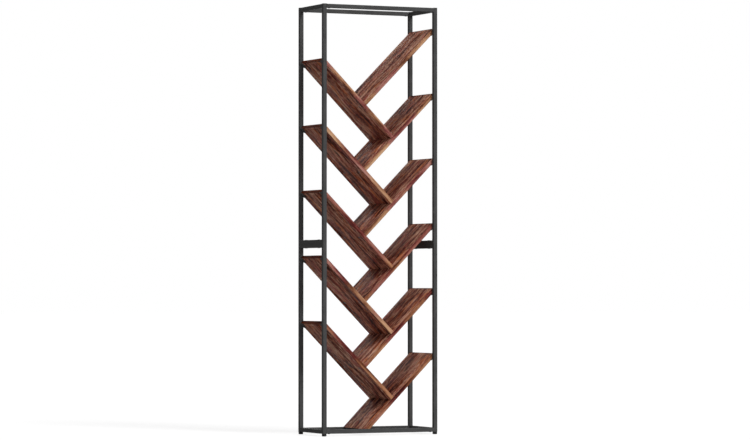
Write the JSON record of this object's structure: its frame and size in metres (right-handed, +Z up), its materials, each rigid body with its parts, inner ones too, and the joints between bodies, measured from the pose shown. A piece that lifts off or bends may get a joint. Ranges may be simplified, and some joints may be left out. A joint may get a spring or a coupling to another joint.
{
  "type": "tree bookshelf",
  "caption": "Tall open bookshelf whose sloping boards branch left and right like a tree inside a slim square tube frame.",
  "frame": {"origin": "on the floor, under the middle of the frame", "axes": "+Z up, +X to the right as seen from the front, -Y is the front"},
  "size_m": [0.5024, 0.2426, 1.7],
  "materials": {
    "powder_coated_steel": "matt black fine-textured powder coat",
    "laminated_board": "rustic red-brown wood-grain laminate on particle board, satin",
    "blackened_steel": "black oxide screws and bolts",
    "zinc_plated_steel": "bright zinc plate",
    "black_plastic": "moulded black plastic",
    "black_rubber": "moulded black rubber"
  },
  "bodies": {
    "frame": {"lower_left_side_frame": "powder_coated_steel", "lower_right_side_frame": "powder_coated_steel", "upper_left_side_frame": "powder_coated_steel", "upper_right_side_frame": "powder_coated_steel", "bottom_front_rail": "powder_coated_steel", "bottom_back_rail": "powder_coated_steel", "top_front_rail": "powder_coated_steel", "top_back_rail": "powder_coated_steel", "left_shelf_1": "laminated_board", "left_shelf_2": "laminated_board", "left_shelf_3": "laminated_board", "left_shelf_4": "laminated_board", "left_shelf_5": "laminated_board", "right_shelf_1": "laminated_board", "right_shelf_2": "laminated_board", "right_shelf_3": "laminated_board", "right_shelf_4": "laminated_board", "right_shelf_5": "laminated_board", "right_shelf_6": "laminated_board", "post_joint_spigots": "zinc_plated_steel", "frame_joining_bolts": "blackened_steel", "frame_joining_nuts": "blackened_steel", "rail_screws": "blackened_steel", "shelf_end_screws": "blackened_steel", "shelf_tab_screws": "blackened_steel", "post_top_caps": "black_plastic", "foot_inserts": "black_plastic"},
    "front_left_foot": {"front_left_foot_pad": "black_rubber", "front_left_foot_stud": "zinc_plated_steel"},
    "front_right_foot": {"front_right_foot_pad": "black_rubber", "front_right_foot_stud": "zinc_plated_steel"},
    "back_left_foot": {"back_left_foot_pad": "black_rubber", "back_left_foot_stud": "zinc_plated_steel"},
    "back_right_foot": {"back_right_foot_pad": "black_rubber", "back_right_foot_stud": "zinc_plated_steel"}
  },
  "joints": [
    {"name": "front_left_foot_screw", "type": "slide", "parent": "frame", "child": "front_left_foot", "axis": [0, 0, -1], "range_m": [0, 0.008]},
    {"name": "front_right_foot_screw", "type": "slide", "parent": "frame", "child": "front_right_foot", "axis": [0, 0, -1], "range_m": [0, 0.008]},
    {"name": "back_left_foot_screw", "type": "slide", "parent": "frame", "child": "back_left_foot", "axis": [0, 0, -1], "range_m": [0, 0.008]},
    {"name": "back_right_foot_screw", "type": "slide", "parent": "frame", "child": "back_right_foot", "axis": [0, 0, -1], "range_m": [0, 0.008]}
  ]
}
